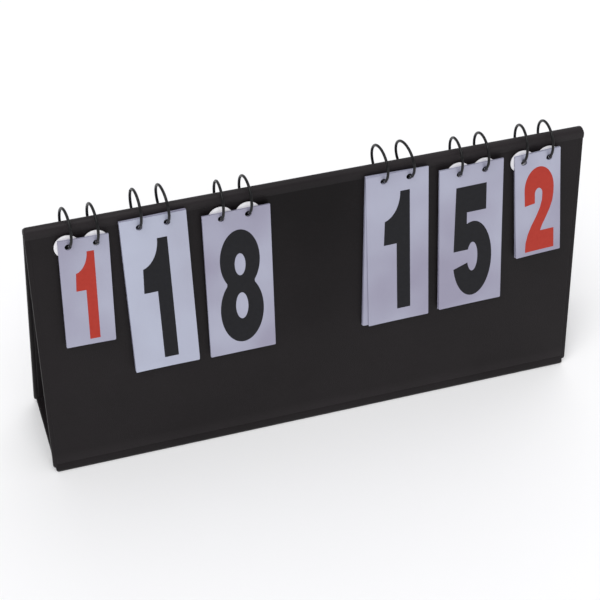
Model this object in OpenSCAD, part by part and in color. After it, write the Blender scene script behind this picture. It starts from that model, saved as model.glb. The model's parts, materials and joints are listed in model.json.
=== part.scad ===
// Tabletop flip scoreboard: a vinyl-covered folding stand with six packs of number cards on rings.
// Frame: origin under the middle of the footprint, +X to the viewer's right, +Y to the back, +Z up.

/* [Stand] */
// Width of the front and back panels
panel_w = 610; // [560:1:660]
// Length of a panel from the top hinge line to its bottom edge
panel_len = 308; // [290:1:330]
// Thickness of a panel, with its board and both skins
panel_t = 4.2; // [3.6:0.1:5]
// Lean of each panel from upright, in degrees
lean = 9.5; // [8.5:0.1:11]
// Width of the base panel
base_w = 604; // [550:1:656]
// Thickness of the base panel
base_t = 4.6; // [3.8:0.1:5.4]
// Length of the base that stands out behind the back panel
lip = 8.4; // [7:0.1:14]
// Height of the front panel's lowest edge over the base
hinge_gap = 1.6; // [1.5:0.1:2]
// Thickness of the vinyl skin
skin_t = 0.6; // [0.4:0.1:0.8]
// Width of the welded margin round each board
weld = 5; // [3:0.5:8]

/* [Rings] */
// Radius of a ring, to the middle of its wire
ring_r = 19.6; // [19:0.1:20.5]
// Diameter of the ring wire
wire_d = 2.8; // [2.4:0.1:3]
// Distance between the two rings of a pack
ring_pitch = 29; // [27:0.5:31]
// Depth of a ring's centre below the top hinge line, on the games and units packs
low_depth = 3.3; // [2.5:0.1:4]
// Depth of a ring's centre below the top hinge line on the tens packs, negative above it
high_depth = -6.3; // [-7:0.1:-5]
// Place of a ring's pin, in degrees from straight back towards the top
pin_at = 220; // [215:1:225]
// Place of the snap where a ring opens, measured the same way
snap_at = 78; // [60:1:110]

/* [Packs] */
// Distance of the inner, middle and outer packs from the middle of the stand
pack_x = [88.5, 174.5, 248.5];
// Width and height of the three sizes of card: games, tens, units
card_sizes = [[52.5, 133], [70, 192.5], [73, 182]];
// Height of the printed number on each size of card
number_heights = [109.5, 153, 145];
// Distance of the number's top below the card's holes, on each size of card
number_drops = [8.5, 16, 16.5];
// Thickness of a card
card_t = 0.45; // [0.3:0.05:0.5]
// Distance from the panel's skin to the middle of the front card
card_gap = 5.3; // [5.2:0.1:6]
// Distance from a card's top edge to its holes
hole_drop = 9.5; // [9:0.1:10]
// Radius of the holes in the cards
hole_r = 3.5; // [3.4:0.1:3.8]
// Radius of a spacer washer
washer_r = 13.5; // [11:0.5:13.5]

/* [Hidden] */
$fn = 48;
slip = 0.05;

packs = ["games_left", "tens_left", "units_left", "tens_right", "units_right", "games_right"];
pack_places = [-pack_x[2], -pack_x[1], -pack_x[0], pack_x[0], pack_x[1], pack_x[2]];
// Size of card in each pack: 0 games, 1 tens, 2 units
pack_sizes = [0, 1, 2, 1, 2, 0];
pack_numbers = [1, 1, 8, 1, 5, 2];
// Small turn of each front card on its rings, in degrees, as the cards hang in use
pack_turns = [-1.2, 1.3, 0.4, 1.2, 1.4, 3.6];
// Turn of the cards behind it
stack_turns = [-1.1, 1.4, 0.5, -0.8, 1.2, 3.4];
// Place of each pack's front card against its holes, to the right and up, as its holes are punched
card_shifts = [[1.4, -1.2], [0.3, 0.5], [1.8, -2.6], [1, -1.5], [-0.9, -0.5], [1.2, 0]];
// Place of each number against the middle of its card's holes, to the right and up
number_shifts = [[1.1, 0], [-1.4, -1], [2.4, -0.5], [0.3, 0.3], [1.4, -0.2], [2.8, -0.5]];
// Cards still to come behind the front card, and cards already flipped over to the back
cards_to_come = [3, 8, 1, 8, 4, 3];
cards_flipped = [1, 1, 8, 1, 5, 2];
washer_counts = [3, 0, 3, 0, 3, 3];
all_packs = [0:len(packs) - 1];
both_rings = [-ring_pitch / 2, ring_pitch / 2];

fixed_nodes = [
    "front_board", "front_cover", "front_eyelets", "front_hinge", "spine",
    "rear_board", "rear_cover", "rear_eyelets", "closure_tabs",
    "base_board", "base_cover", "hinge_channel", "closure_strips",
    "spacer_washers", "front_stack_cards", "rear_stack_cards"
];

// Where the panels' outer faces end at the bottom, from the plane of the top hinge
foot_reach = panel_len * sin(lean) + panel_t * cos(lean);
front_edge = foot_reach + 0.6;
rear_edge = foot_reach + lip;
axis_y = (front_edge - rear_edge) / 2;
axis_z = base_t + hinge_gap + panel_len * cos(lean);

core_t = panel_t - 2 * skin_t;
base_core_t = base_t - 2 * skin_t;
top_gap = 1.5;
spine_t = 0.8;
spine_in = panel_t + 0.1;
spine_out = panel_t + spine_t + 0.1;
spine_lap = 6;

eyelet_bore = 3.2;
eyelet_r = 3.9;
flange_r = 5.4;
flange_t = 0.6;

bead_r = 0.9;
bead_drop = 1;
hinge_lap = 4;
hinge_lap_t = 0.8;
neck_t = 0.5;
// Place of the front hinge line, from the top hinge line
hinge_back = -(panel_len + bead_drop) * sin(lean) - panel_t * cos(lean);
hinge_down = -(panel_len + bead_drop) * cos(lean) + panel_t * sin(lean);

strip_w = 70;
strip_x = [-220, 0, 220];
strip_t = 0.9;
tab_t = 0.8;
tab_clear = 0.3;

wire_r = wire_d / 2;
lug_r = 1.8;
lug_t = 1.45;
lug_room = 2.2;
pin_r = 0.6;
pin_head_r = 1;
pin_head_t = 0.35;
snap_turn = 4.5;
snap_lap = 4.3;

stack_start = spine_out - panel_t + slip;
stack_card_t = 0.4;
stack_pitch = 0.5;
washer_t = 0.6;
washer_pitch = 0.65;
washer_bore = 3;
// Small sideways shift of each pack's left and right washers
washer_shifts = [[-0.5, 0.1], [0, 0], [0.1, 0.4], [0, 0], [-0.3, 0.1], [-0.5, 0.2]];
corner_r = 1.2;
print_t = 0.1;
front_card_out = panel_t + card_gap;

function ring_depth(i) = pack_sizes[i] == 1 ? high_depth : low_depth;
// Distance down the panel at which a ring crosses a plane, for the plane's distance from the inner face
function ring_cross(i, out) =
    ring_depth(i) * cos(lean) + sqrt(pow(ring_r, 2) - pow(out + ring_depth(i) * sin(lean), 2));
function ellipse(cx, cy, rx, ry) = [for (a = [0:7.5:352.5]) [cx + rx * cos(a), cy + ry * sin(a)]];

// A frame at the top hinge line: the panel runs down along -Z and its outer face looks along -Y
module front_frame() {
    translate([0, axis_y, axis_z]) rotate([-lean, 0, 0]) children();
}

module rear_frame() {
    translate([0, axis_y, axis_z]) mirror([0, 1, 0]) rotate([-lean, 0, 0]) children();
}

// An outline drawn in Y and Z, made w long across the stand
module across(w) {
    rotate([90, 0, 90]) translate([0, 0, -w / 2]) linear_extrude(w) children();
}

// A plate in the plane of a panel, its outline centred on a pack's holes
module plate(i, out, down, t) {
    translate([pack_places[i], -out + t / 2, -down]) rotate([90, 0, 0]) linear_extrude(t) children();
}

module eyelet_places(out, t, r) {
    for (i = all_packs) for (x = both_rings)
        translate([pack_places[i] + x, -out, -ring_cross(i, panel_t / 2)])
            rotate([-90, 0, 0]) cylinder(r = r, h = t);
}

// Panels of the stand
module panel_board() {
    difference() {
        translate([-panel_w / 2 + weld, -panel_t + skin_t, -panel_len])
            cube([panel_w - 2 * weld, core_t, panel_len - top_gap - skin_t]);
        eyelet_places(panel_t + 1, panel_t + 2, eyelet_r);
    }
}

module panel_cover() {
    difference() {
        translate([-panel_w / 2, -panel_t, -panel_len]) cube([panel_w, panel_t, panel_len - top_gap]);
        translate([-panel_w / 2 + weld, -panel_t + skin_t, -panel_len - 1])
            cube([panel_w - 2 * weld, core_t, panel_len - top_gap - skin_t + 1]);
        eyelet_places(panel_t + 1, panel_t + 2, eyelet_r);
    }
}

module panel_eyelets() {
    difference() {
        union() {
            eyelet_places(panel_t, panel_t, eyelet_r);
            eyelet_places(panel_t + flange_t, flange_t, flange_r);
        }
        eyelet_places(panel_t + 1, panel_t + 2, eyelet_bore);
    }
}

module front_board() { color("tan") front_frame() panel_board(); }
module front_cover() { color([0.16, 0.15, 0.16]) front_frame() panel_cover(); }
module front_eyelets() { color([0.1, 0.1, 0.1]) front_frame() panel_eyelets(); }
module rear_board() { color("tan") rear_frame() panel_board(); }
module rear_cover() { color([0.16, 0.15, 0.16]) rear_frame() panel_cover(); }
module rear_eyelets() { color([0.1, 0.1, 0.1]) rear_frame() panel_eyelets(); }

module spine() {
    color([0.2, 0.2, 0.2]) {
        translate([0, axis_y, axis_z]) across(panel_w) intersection() {
            difference() {
                circle(r = spine_out);
                circle(r = spine_in);
            }
            polygon([[0, 0], [20 * cos(lean), 20 * sin(lean)], [20, 30], [-20, 30],
                [-20 * cos(lean), 20 * sin(lean)]]);
        }
        front_frame() translate([-panel_w / 2, -spine_out, -spine_lap])
            cube([panel_w, spine_out - panel_t, spine_lap + 0.4]);
    }
}

// Round edge of vinyl that the base turns on, with its lap on the front panel
module front_hinge() {
    color([0.2, 0.2, 0.2]) front_frame() {
        translate([-base_w / 2, -panel_t - hinge_lap_t, -panel_len + 0.4])
            cube([base_w, hinge_lap_t, hinge_lap]);
        translate([-base_w / 2, -panel_t - neck_t, -panel_len - bead_drop])
            cube([base_w, neck_t, bead_drop + 1]);
        translate([-base_w / 2, -panel_t, -panel_len - bead_drop])
            rotate([0, 90, 0]) cylinder(r = bead_r, h = base_w);
    }
}

// Base panel
module base_board() {
    color("tan") translate([-base_w / 2 + weld, -front_edge + axis_y + skin_t, skin_t])
        cube([base_w - weld, front_edge + rear_edge - weld - skin_t, base_core_t]);
}

module base_cover() {
    color([0.16, 0.15, 0.16]) difference() {
        translate([-base_w / 2, axis_y - front_edge, 0]) cube([base_w, front_edge + rear_edge, base_t]);
        translate([-base_w / 2 + weld, axis_y - front_edge + skin_t, skin_t])
            cube([base_w - weld + 1, front_edge + rear_edge - weld - skin_t, base_core_t]);
    }
}

module hinge_channel() {
    back = 1.3;
    color([0.2, 0.2, 0.2]) translate([0, axis_y, axis_z]) across(base_w) difference() {
        translate([-front_edge, -axis_z + base_t])
            square([front_edge + hinge_back + back, axis_z + hinge_down - 0.33 - base_t]);
        translate([hinge_back, hinge_down]) circle(r = bead_r + slip);
    }
}

// Closure between the back panel's foot and the lip of the base
module closure_strips() {
    color([0.25, 0.25, 0.25]) for (x = strip_x)
        translate([x - strip_w / 2, axis_y + foot_reach + 1.2, base_t]) cube([strip_w, lip - 2.4, strip_t]);
}

module closure_tabs() {
    tab_z = base_t + strip_t + tab_clear;
    color([0.2, 0.2, 0.2]) for (x = strip_x) {
        translate([x - strip_w / 2, axis_y + foot_reach - 0.35, tab_z]) cube([strip_w, lip - 0.85, tab_t]);
        rear_frame() translate([x - strip_w / 2, -panel_t - tab_t, -panel_len - 0.9])
            cube([strip_w, tab_t, 13]);
    }
}

// Rings: each is a fixed half through the panels and a gate that opens on a pin
module ring_place(i) {
    translate([pack_places[i], axis_y, axis_z - ring_depth(i)]) children();
}

// Part of a ring, from one angle to another, of a section drawn across the wire
module ring_arc(from, to) {
    rotate([90, 0, 90]) rotate([0, 0, from])
        rotate_extrude(angle = to - from) translate([ring_r, 0]) children();
}

module at_pin() {
    translate([0, ring_r * cos(pin_at), ring_r * sin(pin_at)]) rotate([0, 90, 0]) children();
}

// One of a ring's two halves, from one angle to another. At the pin and at the snap it keeps one side of
// the wire, and the other half keeps the other side.
module half_ring(from, to, side, bore) {
    at_start = from == pin_at;
    snap_end = at_start ? to : from;
    other_side = side > 0 ? -wire_d : -slip;
    difference() {
        union() {
            ring_arc(at_start ? from : from - snap_lap, at_start ? to + snap_lap : to) circle(r = wire_r);
            at_pin() translate([0, 0, -lug_t]) cylinder(r = lug_r, h = 2 * lug_t);
        }
        at_pin() translate([0, 0, other_side]) cylinder(r = lug_room, h = wire_d + slip);
        ring_arc(snap_end - snap_turn, snap_end + snap_turn)
            translate([-wire_d, other_side]) square([2 * wire_d, wire_d + slip]);
        at_pin() translate([0, 0, -wire_d]) cylinder(r = bore, h = 2 * wire_d);
    }
}

module rings(i) {
    color([0.08, 0.08, 0.08]) ring_place(i) for (x = both_rings)
        translate([x, 0, 0]) half_ring(pin_at, snap_at + 360, -1, pin_r);
}

module gate(i, k) {
    color([0.08, 0.08, 0.08]) ring_place(i) translate([both_rings[k - 1], 0, 0])
        half_ring(snap_at, pin_at, 1, pin_r + slip);
}

module ring_pins(i) {
    color([0.3, 0.3, 0.3]) ring_place(i) for (x = both_rings) translate([x, 0, 0]) at_pin() {
        translate([0, 0, -lug_t - pin_head_t]) cylinder(r = pin_r, h = 2 * lug_t + 2 * pin_head_t);
        for (end = [-lug_t - pin_head_t, lug_t + slip])
            translate([0, 0, end]) cylinder(r = pin_head_r, h = pin_head_t);
    }
}

// Cards
module card_outline(i) {
    w = card_sizes[pack_sizes[i]][0];
    h = card_sizes[pack_sizes[i]][1];
    difference() {
        translate([card_shifts[i][0] - w / 2, card_shifts[i][1] + hole_drop - h]) {
            translate([corner_r, 0]) square([w - 2 * corner_r, h]);
            translate([0, corner_r]) square([w, h - corner_r]);
            for (x = [corner_r, w - corner_r]) translate([x, corner_r]) circle(r = corner_r);
        }
        for (x = both_rings) translate([x, 0]) circle(r = hole_r);
    }
}

module card(i) {
    color([0.86, 0.86, 0.92]) front_frame()
        plate(i, front_card_out, ring_cross(i, front_card_out) + 0.5, card_t)
            rotate([0, 0, pack_turns[i]]) card_outline(i);
}

module stack(i, count, first_out, turn) {
    for (k = [0:count - 1]) {
        out = first_out + stack_card_t / 2 + k * stack_pitch;
        plate(i, out, ring_cross(i, out), stack_card_t) rotate([0, 0, turn + (k % 2 == 0 ? -0.1 : 0.15)])
            card_outline(i);
    }
}

module front_stack_cards() {
    color([0.8, 0.8, 0.87]) front_frame() for (i = all_packs)
        stack(i, cards_to_come[i], panel_t + stack_start + washer_counts[i] * washer_pitch, stack_turns[i]);
}

module rear_stack_cards() {
    color([0.8, 0.8, 0.87]) rear_frame() for (i = all_packs)
        stack(i, cards_flipped[i], panel_t + stack_start, (i % 3 - 1) * 0.5);
}

module spacer_washers() {
    color([0.95, 0.95, 0.95]) front_frame() for (i = all_packs) if (washer_counts[i] > 0)
        for (k = [0:washer_counts[i] - 1]) {
            out = panel_t + stack_start + washer_t / 2 + k * washer_pitch;
            for (side = [0, 1]) plate(i, out, ring_cross(i, out), washer_t)
                translate([both_rings[side] + washer_shifts[i][side], 0]) difference() {
                    circle(r = washer_r);
                    circle(r = washer_bore);
                }
        }
}

// Numbers, drawn one high from the top down
module figure_one() {
    left = -0.005;
    right = 0.095;
    tip = -0.1;
    polygon(concat(
        [[right, 0], [right, -1], [left, -1], [left, -0.43], [tip, -0.43]],
        [for (a = [80:-8:0]) [tip - 0.015 + 0.14 * cos(a), -0.235 * sin(a)]]
    ));
}

module figure_eight() {
    difference() {
        union() {
            polygon(ellipse(0, -0.265, 0.145, 0.265));
            polygon(ellipse(0, -0.705, 0.158, 0.295));
        }
        polygon(ellipse(0, -0.302, 0.041, 0.097));
        polygon(ellipse(0, -0.67, 0.047, 0.118));
    }
}

module figure_five() {
    translate([-0.155, 0]) polygon(concat(
        [[0.003, -0.57], [0.02, 0], [0.26, 0], [0.26, -0.232], [0.107, -0.232]],
        [for (a = [108:-12:-168]) [0.155 + 0.155 * cos(a), -0.66 + 0.34 * sin(a)]],
        [for (a = [-158:18:148]) [0.155 + 0.042 * cos(a), -0.64 + 0.132 * sin(a)]]
    ));
}

module figure_two() {
    translate([-0.155, 0]) polygon(concat(
        [for (a = [180:-7.5:0]) [0.155 + 0.155 * cos(a), -0.26 + 0.26 * sin(a)]],
        [[0.308, -0.34], [0.296, -0.43], [0.268, -0.52], [0.225, -0.62], [0.187, -0.7], [0.165, -0.765]],
        [[0.31, -0.765], [0.31, -1], [0, -1], [0.006, -0.89], [0.03, -0.79], [0.07, -0.69], [0.12, -0.59]],
        [[0.162, -0.49], [0.185, -0.4]],
        [for (a = [0:15:180]) [0.15 + 0.04 * cos(a), -0.32 + 0.07 * sin(a)]],
        [[0.11, -0.425], [0.002, -0.44]]
    ));
}

module figure(n) {
    if (n == 1) figure_one();
    if (n == 2) figure_two();
    if (n == 5) figure_five();
    if (n == 8) figure_eight();
}

module numeral(i) {
    size = pack_sizes[i];
    tint = size == 0 ? [0.8, 0.22, 0.15] : [0.08, 0.08, 0.08];
    color(tint) front_frame()
        plate(i, front_card_out + (card_t + print_t) / 2, ring_cross(i, front_card_out) + 0.5, print_t)
            rotate([0, 0, pack_turns[i]]) translate([0, -number_drops[size]] + number_shifts[i])
                scale(number_heights[size]) figure(pack_numbers[i]);
}

front_board();
front_cover();
front_eyelets();
front_hinge();
spine();
rear_board();
rear_cover();
rear_eyelets();
closure_tabs();
base_board();
base_cover();
hinge_channel();
closure_strips();
spacer_washers();
front_stack_cards();
rear_stack_cards();
for (i = all_packs) {
    rings(i);
    ring_pins(i);
    gate(i, 1);
    gate(i, 2);
    card(i);
    numeral(i);
}
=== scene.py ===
"""Tabletop flip scoreboard: a vinyl-covered folding stand with packs of number cards on wire rings."""

import json
import logging
import math
from collections.abc import Iterable, Sequence
from dataclasses import dataclass
from enum import Enum

import bmesh
import bpy
from mathutils import Matrix, Vector


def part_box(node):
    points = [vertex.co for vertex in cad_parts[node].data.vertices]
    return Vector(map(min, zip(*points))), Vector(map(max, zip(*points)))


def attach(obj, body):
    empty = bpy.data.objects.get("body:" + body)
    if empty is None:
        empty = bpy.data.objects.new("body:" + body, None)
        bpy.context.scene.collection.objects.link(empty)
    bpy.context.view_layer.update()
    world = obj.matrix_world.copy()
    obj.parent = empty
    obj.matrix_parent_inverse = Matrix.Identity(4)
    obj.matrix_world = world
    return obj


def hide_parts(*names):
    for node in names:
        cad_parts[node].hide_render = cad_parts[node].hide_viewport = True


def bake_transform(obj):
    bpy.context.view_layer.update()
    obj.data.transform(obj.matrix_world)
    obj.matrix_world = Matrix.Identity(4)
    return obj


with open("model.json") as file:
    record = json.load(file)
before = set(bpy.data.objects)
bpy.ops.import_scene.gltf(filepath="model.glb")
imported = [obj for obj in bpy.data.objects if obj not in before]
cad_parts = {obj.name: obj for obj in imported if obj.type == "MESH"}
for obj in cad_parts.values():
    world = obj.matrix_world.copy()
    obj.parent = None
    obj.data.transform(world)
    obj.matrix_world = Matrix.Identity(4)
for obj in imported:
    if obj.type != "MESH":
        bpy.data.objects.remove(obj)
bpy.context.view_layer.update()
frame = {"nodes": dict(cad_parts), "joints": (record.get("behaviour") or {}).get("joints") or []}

log = logging.getLogger("scoreboard")

MM = 0.001
X_AXIS = Vector((1, 0, 0))
Triple = tuple[float, float, float]
Colour = Triple
Point = tuple[float, float]


class Signal:
    """A shader value that Python arithmetic adds Math nodes to."""

    def __init__(self, tree: bpy.types.NodeTree, socket: bpy.types.NodeSocket) -> None:
        """Wraps a socket.

        Args:
            tree: The node tree that the socket is in.
            socket: The output that carries the value.
        """
        self.tree = tree
        self.socket = socket

    def _math(self, operation: str, first: "Signal | float", second: "Signal | float") -> "Signal":
        """Adds one Math node.

        Args:
            operation: The node's operation.
            first: Its first value.
            second: Its second value.

        Returns:
            The result, as a signal.
        """
        node = self.tree.nodes.new("ShaderNodeMath")
        node.operation = operation
        for socket, value in zip(node.inputs, (first, second)):
            if isinstance(value, Signal):
                self.tree.links.new(value.socket, socket)
            else:
                socket.default_value = value
        return Signal(self.tree, node.outputs[0])

    def __add__(self, other: "Signal | float") -> "Signal":
        """Sum."""
        return self._math("ADD", self, other)

    def __sub__(self, other: "Signal | float") -> "Signal":
        """Difference."""
        return self._math("SUBTRACT", self, other)

    def __rsub__(self, other: float) -> "Signal":
        """Difference from a number."""
        return self._math("SUBTRACT", other, self)

    def __mul__(self, other: "Signal | float") -> "Signal":
        """Product."""
        return self._math("MULTIPLY", self, other)

    def __pow__(self, other: float) -> "Signal":
        """Power."""
        return self._math("POWER", self, other)

    __radd__ = __add__
    __rmul__ = __mul__

    def clamped(self) -> "Signal":
        """The value held between 0 and 1."""
        return self._math("MINIMUM", self._math("MAXIMUM", self, 0.0), 1.0)

    def faded(self, none: float, full: float) -> "Signal":
        """0 where the value is none, 1 where it is full, and even between the two."""
        return ((self - none) * (1.0 / (full - none))).clamped()


class Coat:
    """A material under construction, with one method for any node."""

    def __init__(self, name: str, **constants: float) -> None:
        """Starts a material on a Principled shader.

        Args:
            name: The material's name.
            **constants: Values of the shader's own sockets, with spaces as underscores.
        """
        self.material = bpy.data.materials.new(name)
        self.material.use_nodes = True
        self.tree = self.material.node_tree
        self.shader = self.tree.nodes["Principled BSDF"]
        for key, value in constants.items():
            self.shader.inputs[key.replace("_", " ")].default_value = value
        self.place = self.node("ShaderNodeTexCoord").outputs["Object"]

    def node(self, kind: str, settings: dict | None = None, values: dict | None = None) -> bpy.types.Node:
        """Adds a node.

        Args:
            kind: The node's type.
            settings: Its own settings, set first. A ramp's stops are given as "stops".
            values: What its sockets hold: a signal, a socket, a number or a colour.

        Returns:
            The node.
        """
        node = self.tree.nodes.new(kind)
        for key, value in (settings or {}).items():
            if key == "stops":
                for element, (position, colour) in zip(node.color_ramp.elements, value):
                    element.position = position
                    element.color = (*colour, 1.0)
            else:
                setattr(node, key, value)
        for key, value in (values or {}).items():
            source = value.socket if isinstance(value, Signal) else value
            if isinstance(source, bpy.types.NodeSocket):
                self.tree.links.new(source, node.inputs[key])
            else:
                node.inputs[key].default_value = source
        return node

    def noise(self, scale: float, detail: float = 3.0, stretch: Triple = (1, 1, 1)) -> Signal:
        """Smooth noise over the piece.

        Args:
            scale: Features per metre.
            detail: Octaves of finer noise.
            stretch: Factors on the three axes.

        Returns:
            The noise, around 0.5.
        """
        turned = self.node("ShaderNodeMapping", values={"Vector": self.place, "Scale": stretch})
        made = self.node(
            "ShaderNodeTexNoise",
            values={"Vector": turned.outputs[0], "Scale": scale, "Detail": detail},
        )
        return Signal(self.tree, made.outputs[0])

    def cells(self, scale: float, feature: str = "SMOOTH_F1") -> Signal:
        """Distance pattern of rounded cells.

        Args:
            scale: Cells per metre.
            feature: The Voronoi feature.

        Returns:
            The distance in each cell.
        """
        made = self.node(
            "ShaderNodeTexVoronoi", {"feature": feature}, {"Vector": self.place, "Scale": scale}
        )
        return Signal(self.tree, made.outputs["Distance"])

    def along(self, axis: str) -> Signal:
        """The piece's own coordinate along X, Y or Z, in metres."""
        return Signal(self.tree, self.node("ShaderNodeSeparateXYZ", values={0: self.place}).outputs[axis])

    def blend(self, mask: Signal, low: Colour, high: Colour) -> None:
        """Colours the shader from low to high by a mask.

        Args:
            mask: 0 for low, 1 for high.
            low: Linear colour.
            high: Linear colour.
        """
        mixed = self.node(
            "ShaderNodeMix",
            {"data_type": "RGBA"},
            {"Factor": mask, 6: (*low, 1.0), 7: (*high, 1.0)},
        )
        self.tree.links.new(mixed.outputs[2], self.shader.inputs["Base Color"])

    def vary(self, socket: str, value: Signal) -> None:
        """Feeds one of the shader's sockets."""
        self.tree.links.new(value.socket, self.shader.inputs[socket])

    def bump(self, height: Signal, depth: float) -> None:
        """Feeds the shader's normal.

        Args:
            height: The relief, about 0 to 1.
            depth: How deep it is, in metres.
        """
        made = self.node("ShaderNodeBump", values={"Height": height, "Distance": depth, "Strength": 1.0})
        self.tree.links.new(made.outputs[0], self.shader.inputs["Normal"])


@dataclass(frozen=True)
class VinylFinish:
    """Pebbled black sheet with a low sheen.

    The panels have painted shade, deepest black at the top of their middle, and a painted sheen that makes
    them greyer along the foot; the spine has painted shade in its middle and a painted highlight that makes
    it greyer over the rounded top fold.
    Each of these fades in over two places, in metres from the middle or from the floor.
    """

    name: str = "pebbled_black_vinyl"
    low: Colour = (0.002, 0.0008, 0.0012)
    high: Colour = (0.021, 0.0175, 0.019)
    pebble: float = 1100.0
    depth: float = 0.00016
    painted_middle_shade: float = 0.0
    painted_foot_sheen: float = 0.0
    painted_crown_highlight: float = 0.0
    middle_width: Point = (0.1375, 0.0125)
    middle_height: Point = (0.1, 0.26667)
    foot_height: Point = (0.02604, 0.00521)
    crown_height: Point = (0.29677, 0.3129)

    def make(self) -> bpy.types.Material:
        """Builds the material.

        Returns:
            The material, ready for a piece.
        """
        coat = Coat(self.name, Specular_IOR_Level=0.16)
        pebbles = coat.cells(self.pebble)
        crease = coat.noise(2600, 2)
        cloud = coat.noise(9, 4)
        side = (coat.along("X") ** 2) ** 0.5
        height = coat.along("Z")
        # Painted shade: middle masks the top of the middle, which is darkened.
        middle = side.faded(*self.middle_width) * height.faded(*self.middle_height)
        # Painted sheen: foot masks the bottom edge, which is lightened.
        foot = height.faded(*self.foot_height)
        # Painted highlight: crown masks the rounded top fold of the spine, which is lightened.
        crown = height.faded(*self.crown_height)
        tone = cloud * 0.6 + pebbles * -0.15 + 0.22
        tone = tone + middle * -self.painted_middle_shade + foot * self.painted_foot_sheen + crown * self.painted_crown_highlight
        coat.blend(tone.clamped(), self.low, self.high)
        coat.vary("Roughness", (cloud * 0.16 + crease * 0.08 + 0.36).clamped())
        coat.bump((1.0 - pebbles) + crease * 0.35 + cloud * 0.6, self.depth)
        return coat.material


@dataclass(frozen=True)
class CardFinish:
    """White coated card stock, glossy, with faint handling marks, and a broad painted sheen that lifts its
    colour towards bluish white.
    """

    name: str = "coated_white_card"
    low: Colour = (0.3, 0.285, 0.39)
    high: Colour = (0.46, 0.48, 0.6)

    def make(self) -> bpy.types.Material:
        """Builds the material.

        Returns:
            The material, ready for a piece.
        """
        coat = Coat(self.name, Specular_IOR_Level=0.5, Coat_Roughness=0.12)
        cloud = coat.noise(9, 2)
        rub = coat.noise(120, 4, (1, 1, 0.4))
        # Painted sheen: the broad cloud lifts the colour from the lavender low to the bluish white high; rub
        # adds faint handling marks.
        coat.blend((cloud * 2.4 - 0.9 + rub * 0.06).clamped(), self.low, self.high)
        coat.vary("Roughness", (rub * 0.04 + 0.24).clamped())
        coat.vary("Coat Weight", (0.42 - rub * 0.05).clamped())
        coat.bump(cloud, 0.0006)
        return coat.material


@dataclass(frozen=True)
class InkFinish:
    """Printed ink with slightly uneven cover."""

    name: str
    low: Colour
    high: Colour

    def make(self) -> bpy.types.Material:
        """Builds the material.

        Returns:
            The material, ready for a piece.
        """
        coat = Coat(self.name, Specular_IOR_Level=0.14)
        cover = coat.noise(240, 4)
        coat.blend(cover, self.low, self.high)
        coat.vary("Roughness", cover * 0.2 + 0.28)
        coat.bump(coat.noise(1500, 2), 0.00001)
        return coat.material


@dataclass(frozen=True)
class WireFinish:
    """Black coating over steel wire, rubbed thin in specks."""

    name: str = "black_coated_wire"
    coating: Colour = (0.004, 0.004, 0.0045)
    rubbed: Colour = (0.03, 0.03, 0.033)

    def make(self) -> bpy.types.Material:
        """Builds the material.

        Returns:
            The material, ready for a piece.
        """
        coat = Coat(self.name, Specular_IOR_Level=0.28)
        rub = coat.noise(420, 4)
        coat.blend((rub * 4.0 - 2.3).clamped(), self.coating, self.rubbed)
        coat.vary("Roughness", rub * 0.25 + 0.24)
        coat.bump(coat.noise(1800, 2), 0.00004)
        return coat.material


@dataclass(frozen=True)
class PlasticFinish:
    """Smooth moulded plastic with faint flow marks."""

    name: str = "white_washer_plastic"
    low: Colour = (0.84, 0.83, 0.86)
    high: Colour = (0.93, 0.92, 0.95)

    def make(self) -> bpy.types.Material:
        """Builds the material.

        Returns:
            The material, ready for a piece.
        """
        coat = Coat(self.name, Specular_IOR_Level=0.5)
        flow = coat.noise(60, 3)
        coat.blend(flow, self.low, self.high)
        coat.vary("Roughness", flow * 0.12 + 0.2)
        coat.bump(flow + coat.noise(900, 2) * 0.1, 0.0001)
        return coat.material


@dataclass(frozen=True)
class MetalFinish:
    """Metal with a fine grain, bare or enamelled."""

    name: str
    low: Colour
    high: Colour
    metallic: float

    def make(self) -> bpy.types.Material:
        """Builds the material.

        Returns:
            The material, ready for a piece.
        """
        coat = Coat(self.name, Metallic=self.metallic)
        grain = coat.noise(1300, 3, (1, 6, 6))
        coat.blend(grain, self.low, self.high)
        coat.vary("Roughness", grain * 0.25 + 0.25)
        coat.bump(grain, 0.00003)
        return coat.material


@dataclass(frozen=True)
class BoardFinish:
    """Dense grey board with short fibres."""

    name: str = "grey_board"
    low: Colour = (0.16, 0.14, 0.11)
    high: Colour = (0.28, 0.25, 0.2)

    def make(self) -> bpy.types.Material:
        """Builds the material.

        Returns:
            The material, ready for a piece.
        """
        coat = Coat(self.name, Specular_IOR_Level=0.2)
        fibre = coat.noise(700, 5, (1, 3, 3))
        coat.blend((fibre * 2.0 - 0.5).clamped(), self.low, self.high)
        coat.vary("Roughness", fibre * 0.1 + 0.85)
        coat.bump(fibre, 0.0001)
        return coat.material


@dataclass(frozen=True)
class PileFinish:
    """Black hook and loop pile."""

    name: str = "hook_and_loop_pile"
    low: Colour = (0.006, 0.006, 0.006)
    high: Colour = (0.03, 0.03, 0.032)

    def make(self) -> bpy.types.Material:
        """Builds the material.

        Returns:
            The material, ready for a piece.
        """
        coat = Coat(self.name, Specular_IOR_Level=0.2, Sheen_Weight=0.3, Sheen_Roughness=0.5)
        loops = coat.cells(1400, "F1")
        fuzz = coat.noise(3000, 3)
        coat.blend((loops + fuzz * 0.5).clamped(), self.low, self.high)
        coat.vary("Roughness", fuzz * 0.1 + 0.85)
        coat.bump(loops * -1.0 + fuzz * 0.5, 0.0006)
        return coat.material


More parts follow.
